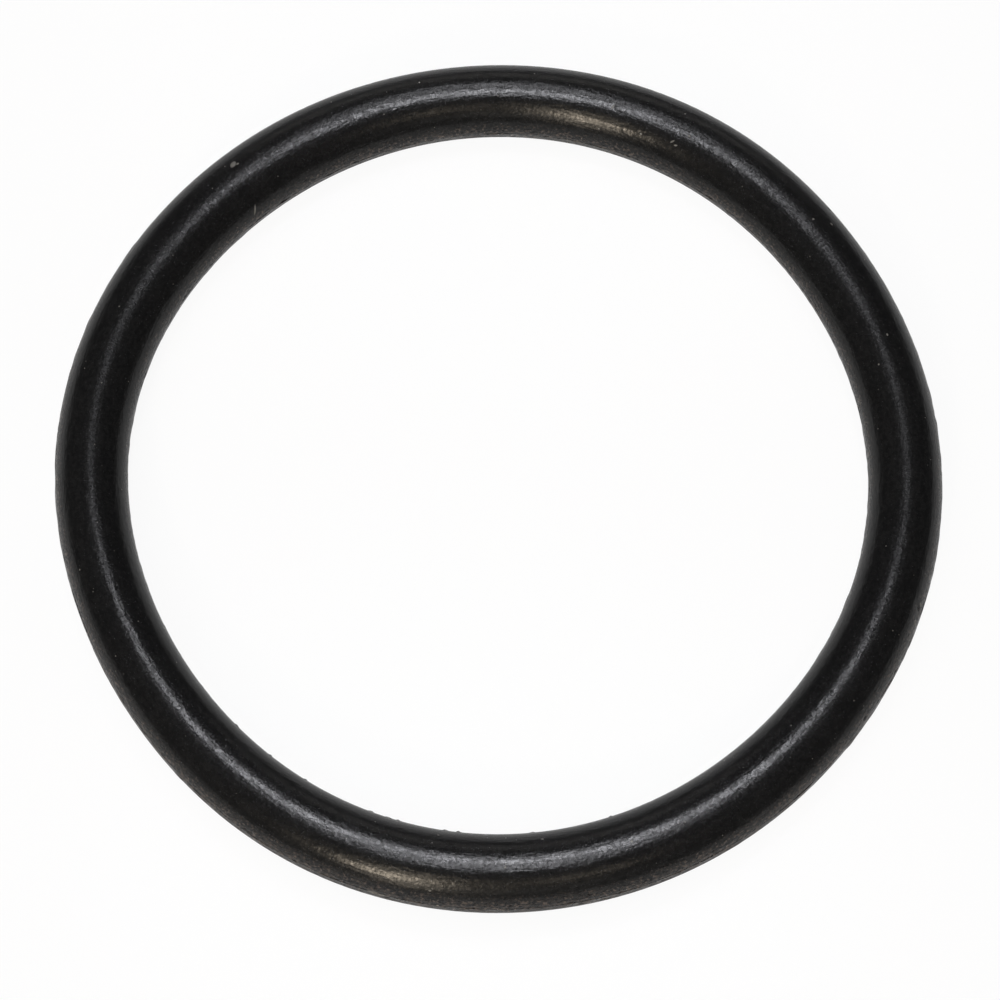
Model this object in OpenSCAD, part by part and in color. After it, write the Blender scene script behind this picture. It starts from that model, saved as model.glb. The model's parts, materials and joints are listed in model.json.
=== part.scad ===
// Moulded rubber O-ring, lying flat.
// The origin is the ring's centre, on its axis and in the parting plane. +Z is the ring's axis.
// The section is a round cord. The two mould halves meet in the plane z = 0, at the inner and the
// outer equator. The flash that squeezed out there was trimmed off, which left a narrow flat land on
// each equator, flush with the round of the cord, with a fine crease along both of its edges.

/* [Ring] */
// Inside diameter, measured across the inner land
inner_d = 34.52; // [15:0.01:200]
// Diameter of the round cord
section_d = 3.53; // [1.5:0.01:12]

/* [Trimmed parting line] */
// Height of the flat land along the ring's axis, between its two creases
land_w = 0.4; // [0.2:0.05:0.8]
// Width of the crease along each edge of a land
crease_w = 0.06; // [0.03:0.01:0.12]
// Depth of the crease, measured from the land
crease_depth = 0.04; // [0.02:0.01:0.08]

/* [Hidden] */
$fn = 128;

section_r = section_d / 2;
// Half the height of a land
land_half_h = land_w / 2;
// Distance from the cord's centre to a land, whose edges lie on the round of the cord
land_x = sqrt(pow(section_r, 2) - pow(land_half_h, 2));
// Distance from the ring's axis to the cord's centre
centreline_r = inner_d / 2 + land_x;

// A crease, drawn as the V that cuts it. The V is this many times as deep and wide as the crease,
// so that it runs out past the round of the cord.
module crease() {
    v_scale = 3;
    translate([land_x - crease_depth, land_half_h + crease_w / 2])
        scale(v_scale)
            polygon([[0, 0], [crease_depth, -crease_w / 2], [crease_depth, crease_w / 2]]);
}

// What trimming took away at the equator where x is positive: the round beyond the flat land, and a
// crease along each edge of the land
module trimmed_away() {
    translate([land_x, -land_half_h]) square([section_d, land_w]);
    crease();
    mirror([0, 1]) crease();
}

// Section of the ring about the cord's centre: x points outwards and y is the ring's axis
module section() {
    difference() {
        circle(r = section_r);
        trimmed_away();
        mirror([1, 0]) trimmed_away();
    }
}

module o_ring() {
    color([0.12, 0.12, 0.12])
        rotate_extrude()
            translate([centreline_r, 0]) section();
}

o_ring();
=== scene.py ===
"""A moulded black rubber O-ring, lying flat on a white table and seen from above."""
import json
import math
import random
from collections import namedtuple

import bpy
import numpy as np
from mathutils import Matrix, Vector


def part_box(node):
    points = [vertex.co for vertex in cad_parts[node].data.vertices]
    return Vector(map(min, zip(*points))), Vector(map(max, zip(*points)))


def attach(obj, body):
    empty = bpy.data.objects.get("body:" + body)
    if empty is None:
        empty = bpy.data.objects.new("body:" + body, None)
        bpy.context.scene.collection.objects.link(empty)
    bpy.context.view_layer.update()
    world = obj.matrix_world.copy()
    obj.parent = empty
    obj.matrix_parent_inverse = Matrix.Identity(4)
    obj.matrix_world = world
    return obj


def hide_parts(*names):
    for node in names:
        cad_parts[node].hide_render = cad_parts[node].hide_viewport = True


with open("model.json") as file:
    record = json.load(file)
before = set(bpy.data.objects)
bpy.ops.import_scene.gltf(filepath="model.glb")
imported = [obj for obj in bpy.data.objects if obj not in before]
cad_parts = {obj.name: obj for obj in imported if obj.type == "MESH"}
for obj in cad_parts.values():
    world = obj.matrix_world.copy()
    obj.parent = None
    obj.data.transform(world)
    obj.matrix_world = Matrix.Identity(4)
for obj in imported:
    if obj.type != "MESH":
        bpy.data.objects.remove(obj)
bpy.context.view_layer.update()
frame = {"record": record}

MM = 0.001
SEED = 17

# Sizes of the ring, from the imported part. The cord's centre runs round the ring's axis.
_, RING_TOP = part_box("o_ring")
SEATS = {mount["name"]: mount["dims"] for mount in frame["record"]["mounts"]}
CORD_R = RING_TOP.z
LAND_HALF_H = SEATS["outer_seat"]["length_mm"] * MM / 2
LAND_X = math.sqrt(CORD_R ** 2 - LAND_HALF_H ** 2)
CENTRELINE_R = SEATS["outer_seat"]["r_mm"] * MM - LAND_X
# The crease along each edge of a land, and how high its bottom lies
CREASE_W = 0.06 * MM
CREASE_DEPTH = 0.04 * MM
CREASE_H = LAND_HALF_H + CREASE_W / 2

# Fineness of the ring's mesh. The sides near the two equators are cut finer.
CORD_SIDES = 48
EQUATOR_CUTS = 3
EQUATOR_REACH = math.radians(26)
SPIN_STEPS = 212
STEP_CUTS = 4
# Points this near a cut lie on it, and points this near each other are one
ON_CUT = 0.001 * MM
SAME_POINT = 0.002 * MM
# Margins for telling which points are on a land or in a crease
LAND_MARGIN = 1.01
CREASE_MARGIN = 0.3
# Folds sharper than this look sharp
SHARP_ANGLE = math.radians(40)

# The cord lies rolled over a little, with its outer land up and its inner land down
CORD_ROLL = math.radians(7.5)

# The free ring isn't quite round. Each wave: waves in one turn, height, clock angle of a crest.
# Clock angles are in degrees round the ring's axis, from +X towards +Y.
ROUNDNESS_WAVES = (
    (3, 0.044 * MM, 38.5),
    (4, 0.075 * MM, -8.0),
    (6, 0.018 * MM, -0.6),
)
# Nor is the cord equally wide all round, measured from its centre to its side
WIDTH_TRIM = -0.009 * MM
WIDTH_WAVES = (
    (1, 0.012 * MM, -1.1),
    (2, 0.028 * MM, -81.5),
    (3, 0.012 * MM, 28.8),
    (4, 0.019 * MM, -39.6),
    (6, 0.009 * MM, 4.0),
)


def deselect_all():
    bpy.ops.object.select_all(action="DESELECT")


def select_edges(mesh, wanted):
    """In edit mode, selects only the edges for which wanted(one end, other end) is true."""
    bpy.ops.mesh.select_mode(type="EDGE")
    bpy.ops.mesh.select_all(action="DESELECT")
    bpy.ops.object.mode_set(mode="OBJECT")
    for edge in mesh.edges:
        edge.select = wanted(*(mesh.vertices[i].co for i in edge.vertices))
    bpy.ops.object.mode_set(mode="EDIT")


def select_points(mesh, wanted):
    """In edit mode, selects only the points for which wanted(point) is true."""
    bpy.ops.mesh.select_mode(type="VERT")
    bpy.ops.mesh.select_all(action="DESELECT")
    bpy.ops.object.mode_set(mode="OBJECT")
    for point in mesh.vertices:
        point.select = wanted(point.co)
    bpy.ops.object.mode_set(mode="EDIT")


def on_land(up):
    """Whether a height, or each height of an array, is on a land."""
    return abs(up) < LAND_HALF_H * LAND_MARGIN


def in_crease(up):
    """Whether a height, or each height of an array, is at the bottom of a crease."""
    return abs(abs(up) - CREASE_H) < CREASE_W * CREASE_MARGIN


def cord_section():
    """The cord's section in the plane y = 0: a circle with a flat land and two creases on each side."""
    deselect_all()
    bpy.ops.mesh.primitive_circle_add(
        vertices=CORD_SIDES,
        radius=CORD_R,
        fill_type="NOTHING",
        location=(CENTRELINE_R, 0, 0),
        rotation=(math.radians(90), 0, 0),
    )
    ring = bpy.context.object
    ring.name = "moulded_ring"
    bpy.ops.object.transform_apply(location=True, rotation=True, scale=True)
    mesh = ring.data
    bpy.ops.object.mode_set(mode="EDIT")
    reach_h = CORD_R * math.sin(EQUATOR_REACH)
    select_edges(mesh, lambda end, other_end: abs(end.z + other_end.z) / 2 < reach_h)
    bpy.ops.mesh.subdivide(number_cuts=EQUATOR_CUTS)
    for height in (LAND_HALF_H, LAND_HALF_H + CREASE_W):
        for side in (-1, 1):
            bpy.ops.mesh.select_all(action="SELECT")
            bpy.ops.mesh.bisect(plane_co=(0, 0, side * height), plane_no=(0, 0, 1), threshold=ON_CUT)
    for out in (-1, 1):
        land = CENTRELINE_R + out * LAND_X
        on_side = lambda point: (point.x - CENTRELINE_R) * out > 0
        # The land is flat
        select_points(mesh, lambda point: on_side(point) and on_land(point.z))
        bpy.ops.transform.resize(value=(0, 1, 1), center_override=(land, 0, 0))
        # The bottom of each crease
        select_points(mesh, lambda point: on_side(point) and in_crease(point.z))
        bpy.ops.transform.translate(value=(-out * CREASE_DEPTH, 0, 0))
    return ring


def runs_round(end, other_end):
    """Whether an edge runs round the ring's axis, and not round the cord."""
    turned = abs(end.x * other_end.y - end.y * other_end.x)
    return turned > CENTRELINE_R ** 2 * math.pi / SPIN_STEPS


def spin_round(ring):
    """Carries the section once round the ring's axis, and closes the skin."""
    bpy.ops.mesh.select_all(action="SELECT")
    bpy.ops.mesh.spin(steps=SPIN_STEPS, angle=2 * math.pi, center=(0, 0, 0), axis=(0, 0, 1))
    bpy.ops.mesh.select_all(action="SELECT")
    bpy.ops.mesh.remove_doubles(threshold=SAME_POINT)
    select_edges(ring.data, runs_round)
    bpy.ops.mesh.subdivide(number_cuts=STEP_CUTS)
    bpy.ops.mesh.select_all(action="SELECT")
    bpy.ops.mesh.normals_make_consistent(inside=False)
    bpy.ops.object.mode_set(mode="OBJECT")


# Wear and unevenness, as moves of the ring's points. Each point has a clock angle round the ring's
# axis, a place across the section (out) and a height along the axis (up), both from the cord's centre.

# A ripple is a sum of up to this many waves, brought to a height of about 1
RIPPLE_WAVES = 24
RIPPLE_GAIN = 1.4

# How deep a crease is on average, and how much it comes and goes in long and in short stretches. Each
# ripple: height, longest wave, shortest wave.
CREASE_MEAN = 0.75
CREASE_LONG_RIPPLE = (0.45, 12 * MM, 2 * MM)
CREASE_SHORT_RIPPLE = (0.35, 1.6 * MM, 0.5 * MM)
CREASE_LIMITS = (0.05, 1.8)
# The crease above a land is faint but for some stretches, inside (-1) and outside (1). Each: start and
# end clock, gain.
FAINT_CREASE = 0.3
STRONG_STRETCHES = {
    -1: ((20, 80, 1.2), (108, 150, 1.1)),
    1: ((206, 330, 1.3),),
}
STRETCH_FADE = 4

# How unevenly a land is trimmed, and how much it tilts. Each: height, longest wave, shortest wave.
LAND_TRIM = (0.008 * MM, 4 * MM, 0.6 * MM)
LAND_TILT = (0.010 * MM, 9 * MM, 1.5 * MM)

# The small nicks along both shoulders. The rises are a mean and a spread in degrees, from the outer and
# from the inner equator. The other pairs are ranges, and shape is a nick's width as a share of its length.
NICKS = 260
OUTER_NICK_SHARE = 0.62
OUTER_NICK_RISE = (15, 12)
INNER_NICK_RISE = (11, 9)
NICK_LENGTH_MM = (0.06, 0.15)
NICK_SHAPE = (0.5, 0.9)
NICK_DEPTH_MM = (0.02, 0.06)
NICK_SLANT = (-40, 40)

# The marks that can be told one by one. Each: clock, rise, length, width, depth, slant.
GASHES = (
    (342.4, 33, 0.30 * MM, 0.10 * MM, 0.09 * MM, 55),
    (341.2, 27, 0.16 * MM, 0.07 * MM, 0.05 * MM, 70),
    (279.0, 62, 0.12 * MM, 0.09 * MM, 0.04 * MM, 20),
    (352.0, 80, 0.10 * MM, 0.07 * MM, 0.04 * MM, 0),
    (308.0, 75, 0.10 * MM, 0.07 * MM, 0.04 * MM, 30),
    (16.0, 85, 0.10 * MM, 0.08 * MM, 0.04 * MM, 0),
    (134.2, 155, 0.26 * MM, 0.06 * MM, 0.05 * MM, 60),
    (75.1, 100, 0.14 * MM, 0.06 * MM, 0.04 * MM, 80),
)

# Nibs left by the trimming on the inner land
NIB_CLOCKS = (228, 235, 241.5, 252.5, 255.2, 256.8, 264, 266, 277, 289)
NIB_LENGTH_MM = (0.07, 0.14)
NIB_WIDTH = 0.07 * MM
NIB_RISE = (168, 175)
NIB_HEIGHT_MM = (0.04, 0.08)

# A pit is pressed in up to this many times its length from its centre
PIT_REACH = 3


def waves(clock, table):
    return sum(height * np.cos(count * (clock - math.radians(crest))) for count, height, crest in table)


def ripple(clock, longest, shortest, seed):
    """A smooth closed random curve round the ring, between about -1 and 1, with waves of these lengths."""
    draw = random.Random(seed)
    turn = 2 * math.pi * CENTRELINE_R
    total = np.zeros_like(clock)
    counts = np.unique(np.geomspace(turn / longest, turn / shortest, RIPPLE_WAVES).astype(int))
    for count in counts:
        height = math.cos(draw.uniform(0, math.pi))
        total += height * np.cos(count * clock + draw.uniform(0, 2 * math.pi))
    return total / math.sqrt(len(counts)) * RIPPLE_GAIN


def fade(value, start, end):
    """0 at start and before it, 1 at end and after it, smooth between."""
    share = np.clip((value - start) / (end - start), 0, 1)
    return share * share * (3 - 2 * share)


def between(clock, start, end):
    """1 on the stretch between two clock angles in degrees, fading out past its ends."""
    middle, half = (start + end) / 2, (end - start) / 2
    away = np.abs((np.degrees(clock) - middle + 180) % 360 - 180)
    return 1 - fade(away, half, half + STRETCH_FADE)


def crease_strength(clock, side, level):
    """How deep a crease is, as a share of its full depth.

    side is 1 outside and -1 inside, and level is 1 above the land and -1 below it.
    """
    seed = SEED + 10 * side + level
    long_height, *long_waves = CREASE_LONG_RIPPLE
    short_height, *short_waves = CREASE_SHORT_RIPPLE
    strength = CREASE_MEAN + long_height * ripple(clock, *long_waves, seed)
    strength = strength + short_height * ripple(clock, *short_waves, seed + 1)
    if level > 0:
        stretches = (gain * between(clock, start, end) for start, end, gain in STRONG_STRETCHES[side])
        strength = strength * sum(stretches, FAINT_CREASE)
    return np.clip(strength, *CREASE_LIMITS)


def on_cord(clock, rise):
    """A point on the cord's skin, the way out of the rubber there, and the way round the ring.

    clock is the angle round the ring's axis, in degrees. rise is the angle round the cord: 0 outside,
    90 on top and 180 inside.
    """
    c, r = math.radians(clock), math.radians(rise)
    out = Vector((math.cos(c), math.sin(c), 0))
    normal = math.cos(r) * out + math.sin(r) * Vector((0, 0, 1))
    middle = CENTRELINE_R + float(waves(c, ROUNDNESS_WAVES))
    return middle * out + CORD_R * normal, normal, Vector((-math.sin(c), math.cos(c), 0))


def press(place, start, clock, spot, rise, length, width, depth, slant=0):
    """Presses one small soft pit into the skin, or raises a nib where depth is negative.

    length lies along the ring and width across the cord, unless the pit is turned by slant degrees.
    """
    centre, normal, tangent = on_cord(spot, rise)
    tangent = Matrix.Rotation(math.radians(slant), 3, normal) @ tangent
    reach_deg = math.degrees(PIT_REACH * max(length, width) / CENTRELINE_R)
    close = np.abs((np.degrees(clock) - spot + 180) % 360 - 180) < reach_deg
    reach = start[close] - np.array(centre)
    along = reach @ np.array(tangent)
    across2 = np.maximum((reach * reach).sum(1) - along * along, 0)
    # A bell that has sunk to about a seventh at the ends of the pit's length and width
    share = np.exp(-2 * ((along / length) ** 2 + across2 / width ** 2))
    place[close] -= depth * share[:, None] * np.array(normal)


def wear_lands(clock, out, up):
    """Lets the creases come and go, and trims the lands as if by hand. This changes out."""
    trim_height, *trim_waves = LAND_TRIM
    tilt_height, *tilt_waves = LAND_TILT
    for side in (-1, 1):
        for level in (-1, 1):
            bottom = (out * side > 0) & (up * level > 0) & in_crease(up)
            out[bottom] -= side * CREASE_DEPTH * (crease_strength(clock[bottom], side, level) - 1)
        land = (out * side > 0) & on_land(up)
        trim = trim_height * ripple(clock[land], *trim_waves, SEED + side)
        tilt = tilt_height * ripple(clock[land], *tilt_waves, SEED + 3 + side)
        out[land] += side * (trim + tilt * up[land] / LAND_HALF_H)


def mark_skin(clock, place):
    """Presses in the nicks along both shoulders, then the marks that stand out. This changes place."""
    draw = random.Random(SEED)
    start = place.copy()
    for _ in range(NICKS):
        spot = draw.uniform(0, 360)
        outer = draw.random() < OUTER_NICK_SHARE
        rise = draw.gauss(*OUTER_NICK_RISE) if outer else 180 - draw.gauss(*INNER_NICK_RISE)
        length = draw.uniform(*NICK_LENGTH_MM) * MM
        width = length * draw.uniform(*NICK_SHAPE)
        depth = draw.uniform(*NICK_DEPTH_MM) * MM
        press(place, start, clock, spot, rise, length, width, depth, draw.uniform(*NICK_SLANT))
    for spot, rise, length, width, depth, slant in GASHES:
        press(place, start, clock, spot, rise, length, width, depth, slant)
    for spot in NIB_CLOCKS:
        length = draw.uniform(*NIB_LENGTH_MM) * MM
        rise = draw.uniform(*NIB_RISE)
        height = draw.uniform(*NIB_HEIGHT_MM) * MM
        press(place, start, clock, spot, rise, length, NIB_WIDTH, -height)


def wear_ring(ring):
    """Moves the ring's points: its lands, the roll and width of the cord, its roundness and its marks."""
    mesh = ring.data
    flat = np.empty(len(mesh.vertices) * 3)
    mesh.vertices.foreach_get("co", flat)
    place = flat.reshape(-1, 3)
    clock = np.arctan2(place[:, 1], place[:, 0])
    out = np.hypot(place[:, 0], place[:, 1]) - CENTRELINE_R
    up = place[:, 2].copy()
    wear_lands(clock, out, up)
    turned_out = out * math.cos(CORD_ROLL) - up * math.sin(CORD_ROLL)
    up = out * math.sin(CORD_ROLL) + up * math.cos(CORD_ROLL)
    out = turned_out * (1 + (WIDTH_TRIM + waves(clock, WIDTH_WAVES)) / CORD_R)
    middle = CENTRELINE_R + waves(clock, ROUNDNESS_WAVES)
    place = np.stack([(middle + out) * np.cos(clock), (middle + out) * np.sin(clock), up], 1)
    mark_skin(clock, place)
    mesh.vertices.foreach_set("co", place.ravel())
    mesh.update()


# Rubber

# Colours, with an alpha of 1
BLACK_RUBBER = (0.0054, 0.0055, 0.0057, 1)
DUSTY_RUBBER = (0.0094, 0.0094, 0.0095, 1)
# Partly wear and partly painted sheen: the warm light grey of the rim sheen, painted on the lands and
# shoulders
WORN_AND_SHEEN_RUBBER = (0.060, 0.047, 0.038, 1)
FLECKED_RUBBER = (0.12, 0.095, 0.080, 1)
PALE_DUST = (0.17, 0.165, 0.15, 1)
# How strongly each covers the one below it
WORN_AND_SHEEN_COVER = 0.8
FLECK_COVER = 0.7
FINE_DUST_COVER = 0.55
MARK_COVER = 0.8

# Relief, made of fine grain, moulding streaks and torn pits. A streak's size is its width across the
# cord and its length round the ring.
GRAIN_SIZE = 0.17 * MM
STREAK_SIZE = (0.12 * MM, 0.55 * MM)
GRAIN_RELIEF = 0.7
STREAK_RELIEF = 1.2
PIT_RELIEF = -1.6
RELIEF_DEPTH = 0.012 * MM

# Gloss. Noise is about 0.5 on average, and each range of it is where a change starts and ends.
SPECULAR_LEVEL = 0.37
CLOUD_SIZE = 1.3 * MM
CLOUD_RANGE = (0.3, 0.7)
ROUGHNESS = (0.22, 0.27)
WORN_ROUGHNESS = 0.25
BLOOM_SIZE = 0.12 * MM
BLOOM_RANGE = (0.32, 0.68)
DULL_SHINE = (0.55, 0.55, 0.55, 1)
FULL_SHINE = (1, 1, 1, 1)
# Painted shade: the shine in the torn pits is turned down to this
PIT_SHADE_SHINE = (0.22, 0.21, 0.22, 1)

# A thin grey film, thicker where grain and mottling are high
GRAIN_FILM = 0.6
MOTTLE_FILM = 0.5
FILM_RANGE = (0.42, 0.70)

# Wear and painted sheen: a lighter warm grey on the lands and shoulders, partly wear and partly painted
# rim sheen. It starts and is full at these heights from the middle of a land, and mottling breaks it up.
MOTTLE_SIZE = (0.20 * MM, 0.5 * MM)
MOTTLE_RANGE = (0.40, 0.66)
LAND_REACH = (LAND_HALF_H * 1.1, LAND_HALF_H * 0.8)
SHOULDER_REACH = (1.1 * MM, 0.2 * MM)
SHOULDER_WEAR_AND_SHEEN = 0.6
INSIDE_WEAR_AND_SHEEN = 0.5
# Torn spots: pits, with painted shade in their shine, and light flecks between them
TORN_SIZE = 0.14 * MM
TORN_REACH = (1.15 * MM, 0.45 * MM)
PIT_RANGE = (0.45, 0.38)
FLECK_RANGE = (0.55, 0.64)

# Dust. Each: size of a cell, size of a speck, share of the cells that have a speck, shift.
DUST = (0.8 * MM, 0.045 * MM, 0.45, 0.0)
FINE_DUST = (0.42 * MM, 0.03 * MM, 0.30, 0.01)
SPECK_SMALLEST = 0.5
SPECK_GROWTH = 0.8
SPECK_EDGE = (1.15, 0.75)

# Light scuffs and flecks that can be told one by one. Each: clock, rise, length, width, slant.
SCUFFS = (
    (132.7, 69.6, 0.22 * MM, 0.16 * MM, 30),
    (132.2, 74.0, 0.09 * MM, 0.06 * MM, 0),
    (134.4, 153.0, 0.34 * MM, 0.06 * MM, 62),
    (75.1, 100.4, 0.16 * MM, 0.05 * MM, 75),
    (64.9, 118.8, 0.14 * MM, 0.05 * MM, 50),
    (64.2, 122.0, 0.10 * MM, 0.05 * MM, 20),
    (63.0, 99.3, 0.08 * MM, 0.06 * MM, 0),
    (69.8, 127.0, 0.07 * MM, 0.06 * MM, 0),
    (76.3, 140.0, 0.06 * MM, 0.05 * MM, 0),
    (256.3, 14.0, 0.30 * MM, 0.14 * MM, 15),
    (257.4, 11.0, 0.34 * MM, 0.12 * MM, 0),
    (259.4, 9.0, 0.16 * MM, 0.06 * MM, 0),
    (263.3, 45.4, 0.08 * MM, 0.06 * MM, 0),
    (272.8, 88.2, 0.08 * MM, 0.05 * MM, 40),
    (343.0, 30.0, 0.16 * MM, 0.06 * MM, 60),
    (340.6, 26.0, 0.22 * MM, 0.12 * MM, 80),
    (178.8, 12.0, 0.20 * MM, 0.07 * MM, 0),
    (186.0, 30.0, 0.12 * MM, 0.06 * MM, 40),
    (39.1, 60.0, 0.10 * MM, 0.06 * MM, 10),
    (21.0, 80.0, 0.08 * MM, 0.06 * MM, 0),
)
# How far a scuff reaches in and out of the skin, and where its edge fades
SCUFF_THICKNESS = 0.3 * MM
SCUFF_EDGE = (1.0, 0.5)


def node(tree, kind, **values):
    """A shader node with its settings, and with its inputs set or joined by name."""
    made = tree.nodes.new(kind)
    for name, value in values.items():
        if hasattr(made, name):
            setattr(made, name, value)
        else:
            plug(tree, made.inputs[name.replace("_", " ")], value)
    return made


def plug(tree, socket, value):
    """Joins a socket to another, or sets it to a value."""
    if isinstance(value, bpy.types.NodeSocket):
        tree.links.new(value, socket)
    else:
        socket.default_value = value


def maths(tree, operation, first, second=0.0, third=0.0):
    """The result of one math node."""
    made = node(tree, "ShaderNodeMath", operation=operation)
    for socket, value in zip(made.inputs, (first, second, third)):
        plug(tree, socket, value)
    return made.outputs[0]


def ramp(tree, value, start, end, to_start=0.0, to_end=1.0):
    """value from start to end, carried smoothly over to to_start and to_end."""
    made = node(
        tree,
        "ShaderNodeMapRange",
        interpolation_type="SMOOTHSTEP",
        Value=value,
        From_Min=start,
        From_Max=end,
        To_Min=to_start,
        To_Max=to_end,
    )
    return made.outputs[0]


def blend(tree, share, first, second):
    """A colour between two, each a socket or a colour."""
    made = node(tree, "ShaderNodeMix", data_type="RGBA")
    # The node has a pair of inputs and an output for each type of data. These are the ones for colours.
    plug(tree, made.inputs[0], share)
    plug(tree, made.inputs[6], first)
    plug(tree, made.inputs[7], second)
    return made.outputs[2]


# Where a point lies: its object coordinates, out and up from the cord's centre, and its clock direction
Where = namedtuple("Where", "place out up clock_x clock_y")


def where_on_ring(tree):
    place = node(tree, "ShaderNodeTexCoord").outputs["Object"]
    x, y, up = node(tree, "ShaderNodeSeparateXYZ", Vector=place).outputs
    x_squared = maths(tree, "MULTIPLY", x, x)
    y_squared = maths(tree, "MULTIPLY", y, y)
    radius = maths(tree, "SQRT", maths(tree, "ADD", x_squared, y_squared))
    out = maths(tree, "SUBTRACT", radius, CENTRELINE_R)
    return Where(place, out, up, maths(tree, "DIVIDE", x, radius), maths(tree, "DIVIDE", y, radius))


def lengthwise_noise(tree, where, size, detail):
    """Noise drawn out round the ring. size is its width across the cord and its length round the ring."""
    across, along = size
    vector = node(tree, "ShaderNodeCombineXYZ")
    plug(tree, vector.inputs[0], maths(tree, "MULTIPLY", where.out, 1 / across))
    plug(tree, vector.inputs[1], maths(tree, "MULTIPLY", where.up, 1 / across))
    plug(tree, vector.inputs[2], maths(tree, "MULTIPLY", where.clock_x, CENTRELINE_R / along))
    made = node(
        tree,
        "ShaderNodeTexNoise",
        noise_dimensions="4D",
        Vector=vector.outputs[0],
        W=maths(tree, "MULTIPLY", where.clock_y, CENTRELINE_R / along),
        Scale=1.0,
        Detail=detail,
    )
    return made.outputs[0]


def cloud(tree, place, size, detail):
    """Plain noise with features of this size."""
    return node(tree, "ShaderNodeTexNoise", Vector=place, Scale=1 / size, Detail=detail).outputs[0]


def specks(tree, place, cell, radius, share, shift):
    """Small round specks strewn at random, 1 in a speck and 0 elsewhere."""
    moved = node(tree, "ShaderNodeVectorMath", operation="ADD")
    plug(tree, moved.inputs[0], place)
    plug(tree, moved.inputs[1], (shift, shift, shift))
    points = node(tree, "ShaderNodeTexVoronoi", Vector=moved.outputs[0], Scale=1 / cell)
    pick = node(tree, "ShaderNodeSeparateColor", Color=points.outputs["Color"]).outputs
    growth = maths(tree, "MULTIPLY_ADD", pick[1], SPECK_GROWTH, SPECK_SMALLEST)
    size = maths(tree, "MULTIPLY", growth, radius / cell)
    near = ramp(tree, maths(tree, "DIVIDE", points.outputs["Distance"], size), *SPECK_EDGE)
    return maths(tree, "MULTIPLY", near, maths(tree, "LESS_THAN", pick[0], share))


def scuffs(tree, place):
    """1 on the scuffs of the list and 0 elsewhere."""
    total = 0.0
    for clock, rise, length, width, slant in SCUFFS:
        centre, normal, tangent = on_cord(clock, rise)
        tangent = Matrix.Rotation(math.radians(slant), 3, normal) @ tangent
        turn = Matrix((tangent, normal.cross(tangent), normal)).transposed().to_euler()
        local = node(
            tree,
            "ShaderNodeMapping",
            vector_type="TEXTURE",
            Vector=place,
            Location=centre,
            Rotation=turn,
            Scale=(length, width, SCUFF_THICKNESS),
        )
        away = node(tree, "ShaderNodeVectorMath", operation="LENGTH", Vector=local.outputs[0])
        scuff = ramp(tree, away.outputs["Value"], *SCUFF_EDGE)
        total = maths(tree, "MAXIMUM", scuff, total)
    return total


def worn_sheen_and_torn(tree, where, mottle):
    """How worn the lands and shoulders are, with painted rim sheen on them, their pits, which also carry
    painted shade, and the light flecks between those.
    """
    rolled_up = maths(tree, "MULTIPLY", where.up, math.cos(CORD_ROLL))
    off_land = maths(tree, "MULTIPLY_ADD", where.out, -math.sin(CORD_ROLL), rolled_up)
    off_land = maths(tree, "ABSOLUTE", off_land)
    land = ramp(tree, off_land, *LAND_REACH)
    shoulder = ramp(tree, off_land, *SHOULDER_REACH, 0.0, SHOULDER_WEAR_AND_SHEEN)
    worn_and_sheen = maths(tree, "MAXIMUM", land, shoulder)
    worn_and_sheen = maths(tree, "MULTIPLY", worn_and_sheen, ramp(tree, mottle, *MOTTLE_RANGE))
    outside = maths(tree, "GREATER_THAN", where.out, 0.0)
    by_side = maths(tree, "MULTIPLY_ADD", outside, 1 - INSIDE_WEAR_AND_SHEEN, INSIDE_WEAR_AND_SHEEN)
    worn_and_sheen = maths(tree, "MULTIPLY", worn_and_sheen, by_side)
    torn = cloud(tree, where.place, TORN_SIZE, detail=3.0)
    rim = ramp(tree, off_land, *TORN_REACH)
    pits_and_shade = maths(tree, "MULTIPLY", ramp(tree, torn, *PIT_RANGE), rim)
    flecks = maths(tree, "MULTIPLY", ramp(tree, torn, *FLECK_RANGE), rim)
    return worn_and_sheen, pits_and_shade, flecks


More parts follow.
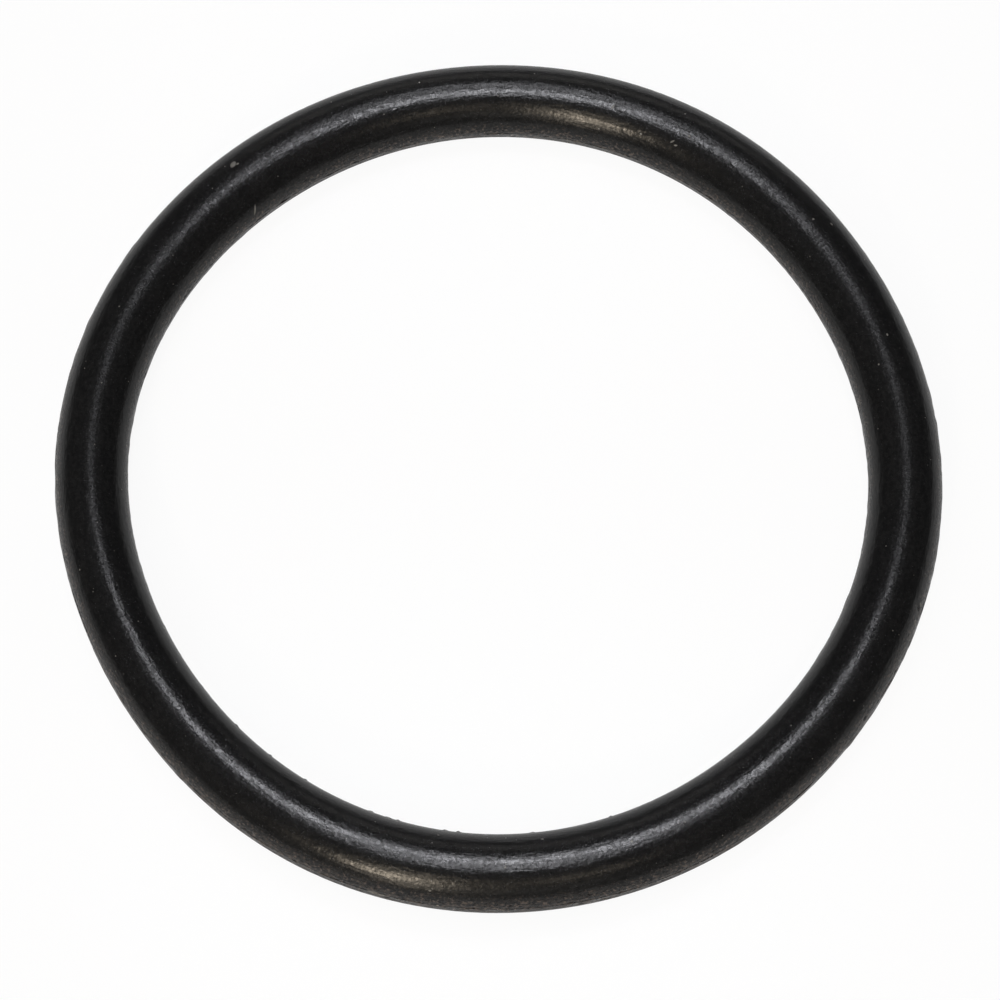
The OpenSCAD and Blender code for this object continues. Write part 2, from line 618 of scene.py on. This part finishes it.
def rubber():
    """Satin black moulded rubber: fine grained, streaked, worn and torn along its lands, and dusty, with
    painted rim sheen on the lands and shoulders and painted shade in its pits.
    """
    material = bpy.data.materials.new("ring_rubber")
    material.use_nodes = True
    tree = material.node_tree
    shader = tree.nodes["Principled BSDF"]
    where = where_on_ring(tree)
    shader.inputs["Specular IOR Level"].default_value = SPECULAR_LEVEL

    grain = cloud(tree, where.place, GRAIN_SIZE, detail=2.0)
    mottle = lengthwise_noise(tree, where, MOTTLE_SIZE, detail=3.0)
    worn_and_sheen, pits_and_shade, flecks = worn_sheen_and_torn(tree, where, mottle)
    marks = maths(tree, "MAXIMUM", scuffs(tree, where.place), specks(tree, where.place, *DUST))

    streaks = lengthwise_noise(tree, where, STREAK_SIZE, detail=2.0)
    relief = maths(tree, "MULTIPLY", grain, GRAIN_RELIEF)
    relief = maths(tree, "MULTIPLY_ADD", streaks, STREAK_RELIEF, relief)
    relief = maths(tree, "MULTIPLY_ADD", pits_and_shade, PIT_RELIEF, relief)
    bump = node(tree, "ShaderNodeBump", Height=relief, Distance=RELIEF_DEPTH, Strength=1.0)
    plug(tree, shader.inputs["Normal"], bump.outputs[0])

    # Gloss: a little uneven, and duller where worn or painted with rim sheen, or dusty
    cloudy = cloud(tree, where.place, CLOUD_SIZE, detail=4.0)
    rough = ramp(tree, cloudy, *CLOUD_RANGE, *ROUGHNESS)
    rough = maths(tree, "MULTIPLY_ADD", maths(tree, "MAXIMUM", worn_and_sheen, marks), WORN_ROUGHNESS, rough)
    plug(tree, shader.inputs["Roughness"], rough)
    bloom = cloud(tree, where.place, BLOOM_SIZE, detail=1.0)
    shine = blend(tree, ramp(tree, bloom, *BLOOM_RANGE), DULL_SHINE, FULL_SHINE)
    # Painted shade: the shine is turned down in the pits
    shine = blend(tree, pits_and_shade, shine, PIT_SHADE_SHINE)
    plug(tree, shader.inputs["Specular Tint"], shine)

    # Colour: near black, brownish grey where worn and as painted rim sheen on the lands and shoulders,
    # light grey in dust and scuffs
    film = maths(tree, "MULTIPLY_ADD", grain, GRAIN_FILM, maths(tree, "MULTIPLY", mottle, MOTTLE_FILM))
    colour = blend(tree, ramp(tree, film, *FILM_RANGE), BLACK_RUBBER, DUSTY_RUBBER)
    # Painted sheen: partly wear, partly the warm rim sheen painted on the lands and shoulders
    colour = blend(tree, maths(tree, "MULTIPLY", worn_and_sheen, WORN_AND_SHEEN_COVER), colour, WORN_AND_SHEEN_RUBBER)
    colour = blend(tree, maths(tree, "MULTIPLY", flecks, FLECK_COVER), colour, FLECKED_RUBBER)
    colour = blend(tree, pits_and_shade, colour, BLACK_RUBBER)
    fine_dust = specks(tree, where.place, *FINE_DUST)
    colour = blend(tree, maths(tree, "MULTIPLY", fine_dust, FINE_DUST_COVER), colour, PALE_DUST)
    colour = blend(tree, maths(tree, "MULTIPLY", marks, MARK_COVER), colour, PALE_DUST)
    plug(tree, shader.inputs["Base Color"], colour)
    return material


# Table

TABLE_SIZE = 6
WHITE = (1, 1, 1, 1)
TABLE_PAINT = (0.85, 0.85, 0.85, 1)
# How much of the table's white is its own. The rest depends on the light and the shade on it.
TABLE_OWN_WHITE = 0.93
# How white the table is in reflections
TABLE_MIRRORED_WHITE = 0.64


def table(height):
    """A plain white table. It is white to the eye and in reflections, and keeps a soft light shadow."""
    deselect_all()
    bpy.ops.mesh.primitive_plane_add(size=TABLE_SIZE, location=(0, 0, height))
    top = bpy.context.object
    top.name = "table"
    material = bpy.data.materials.new("white_table")
    material.use_nodes = True
    tree = material.node_tree
    tree.nodes.remove(tree.nodes["Principled BSDF"])
    ray = node(tree, "ShaderNodeLightPath").outputs
    mirrored = maths(tree, "MAXIMUM", ray["Is Glossy Ray"], ray["Is Transmission Ray"])
    seen = maths(tree, "MULTIPLY", ray["Is Camera Ray"], TABLE_OWN_WHITE)
    brightness = ramp(tree, mirrored, 0.0, 1.0, 1.0, TABLE_MIRRORED_WHITE)
    paint = node(tree, "ShaderNodeBsdfDiffuse", Color=TABLE_PAINT)
    glow = node(tree, "ShaderNodeEmission", Color=WHITE, Strength=brightness)
    mix = node(tree, "ShaderNodeMixShader")
    plug(tree, mix.inputs[0], maths(tree, "MAXIMUM", seen, mirrored))
    plug(tree, mix.inputs[1], paint.outputs[0])
    plug(tree, mix.inputs[2], glow.outputs[0])
    plug(tree, tree.nodes["Material Output"].inputs["Surface"], mix.outputs[0])
    top.data.materials.append(material)


# Light

COOL_WHITE = (0.945, 0.95, 1.0)
WARM_WHITE = (1.0, 0.86, 0.68)
PAINTED_WALL = (1.0, 0.97, 0.92)
ROOM_AIR = (0.97, 0.98, 1.0, 1)
ROOM_LIGHT = 0.06

LAMP_DISTANCE = 0.6
# Two windows with a grid stand nearer, one over the far side of the ring and one over the near side. The
# grid keeps their light within its angle of straight ahead, so the left and right sides stay dark.
GRID_DISTANCE = 0.15
GRID_ANGLE = math.radians(5)
GRID_AIM = 19 * MM

# Each lamp: name, azimuth, elevation, width and height in degrees, radiance, colour. A lamp with a grid
# also has the point it faces.
GRID_LAMPS = (
    ("window_over_far_side", 90, 82, 14, 11, 74.0, COOL_WHITE, (0, GRID_AIM, 0)),
    ("window_over_near_side", 90, 68, 14, 11, 88.0, COOL_WHITE, (0, -GRID_AIM, 0)),
)
SOFT_LAMPS = (
    ("overhead_window", 90, 87, 8, 12, 17.0, COOL_WHITE),
    ("back_window", 90, 60, 7, 12, 13.0, COOL_WHITE),
    ("warm_lamp", 256, 34, 7, 52, 7.5, WARM_WHITE),
    ("warm_bulb", 252, 35, 5, 6, 95.0, WARM_WHITE),
    ("side_card", 290, 48, 10, 14, 3.0, WARM_WHITE),
    ("far_wall", 90, 22, 60, 16, 0.8, PAINTED_WALL),
    ("near_wall", 270, 22, 60, 16, 0.4, PAINTED_WALL),
)
# This one brightens the room and isn't seen in the rubber's shine
FILL_LAMP = ("fill", 200, 70, 60, 60, 1.75, COOL_WHITE)


def soft_lamp(
    name, azimuth, elevation, width, height, radiance, colour, distance=LAMP_DISTANCE, aim=(0, 0, 0)
):
    """An area lamp that faces a point of the ring.

    Its place, width and height are angles in degrees, seen from that point.
    """
    turn, rise = math.radians(azimuth), math.radians(elevation)
    away = Vector((math.cos(turn) * math.cos(rise), math.sin(turn) * math.cos(rise), math.sin(rise)))
    lamp = bpy.data.lights.new(name, "AREA")
    lamp.shape = "ELLIPSE"
    lamp.size = 2 * distance * math.tan(math.radians(width) / 2)
    lamp.size_y = 2 * distance * math.tan(math.radians(height) / 2)
    area = math.pi / 4 * lamp.size * lamp.size_y
    lamp.energy = radiance * math.pi * area
    lamp.color = colour
    holder = bpy.data.objects.new(name, lamp)
    bpy.context.scene.collection.objects.link(holder)
    # The lamp faces along its own -Z. Its own Y points up, or to the back for a lamp overhead.
    right = Vector((-math.sin(turn), math.cos(turn), 0))
    upward = away.cross(right)
    facing = Matrix((right, upward, away)).transposed().to_4x4()
    holder.matrix_world = Matrix.Translation(Vector(aim) + away * distance) @ facing
    holder.visible_camera = False
    return holder


def grid_lamp(name, azimuth, elevation, width, height, radiance, colour, aim):
    """A near soft lamp with a grid."""
    holder = soft_lamp(name, azimuth, elevation, width, height, radiance, colour, GRID_DISTANCE, aim)
    holder.data.spread = 2 * GRID_ANGLE
    # All of a lamp's power goes into its spread, so this keeps the same brightness straight ahead
    holder.data.energy *= 1 - GRID_ANGLE / math.tan(GRID_ANGLE)


def studio_light():
    for lamp in GRID_LAMPS:
        grid_lamp(*lamp)
    for lamp in SOFT_LAMPS:
        soft_lamp(*lamp)
    fill = soft_lamp(*FILL_LAMP)
    fill.visible_glossy = False
    world = bpy.data.worlds.new("dim_room")
    bpy.context.scene.world = world
    world.use_nodes = True
    background = world.node_tree.nodes["Background"]
    background.inputs["Color"].default_value = ROOM_AIR
    background.inputs["Strength"].default_value = ROOM_LIGHT


# Camera. It stands in front of the ring and looks down on it.

CAMERA_AT = Vector((0, -45.03, 136.64)) * MM
AIM_AT = Vector((0.093, -1.428, 0)) * MM
CAMERA_ROLL = math.radians(2.283)
LENS = 110.33
SENSOR_W = 36
NEAREST_SEEN = 0.01
FARTHEST_SEEN = 20


def camera():
    data = bpy.data.cameras.new("camera")
    data.lens = LENS
    data.sensor_width = SENSOR_W
    data.clip_start = NEAREST_SEEN
    data.clip_end = FARTHEST_SEEN
    holder = bpy.data.objects.new("camera", data)
    bpy.context.scene.collection.objects.link(holder)
    level = (AIM_AT - CAMERA_AT).to_track_quat("-Z", "Y").to_matrix().to_4x4()
    holder.matrix_world = Matrix.Translation(CAMERA_AT) @ level @ Matrix.Rotation(CAMERA_ROLL, 4, "Z")
    bpy.context.scene.camera = holder


camera()
ring = cord_section()
spin_round(ring)
wear_ring(ring)
bpy.ops.object.shade_smooth_by_angle(angle=SHARP_ANGLE)
ring.data.materials.append(rubber())
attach(ring, "root")
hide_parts("o_ring")
table(-CORD_R)
studio_light()
bpy.context.scene.view_settings.view_transform = "Standard"
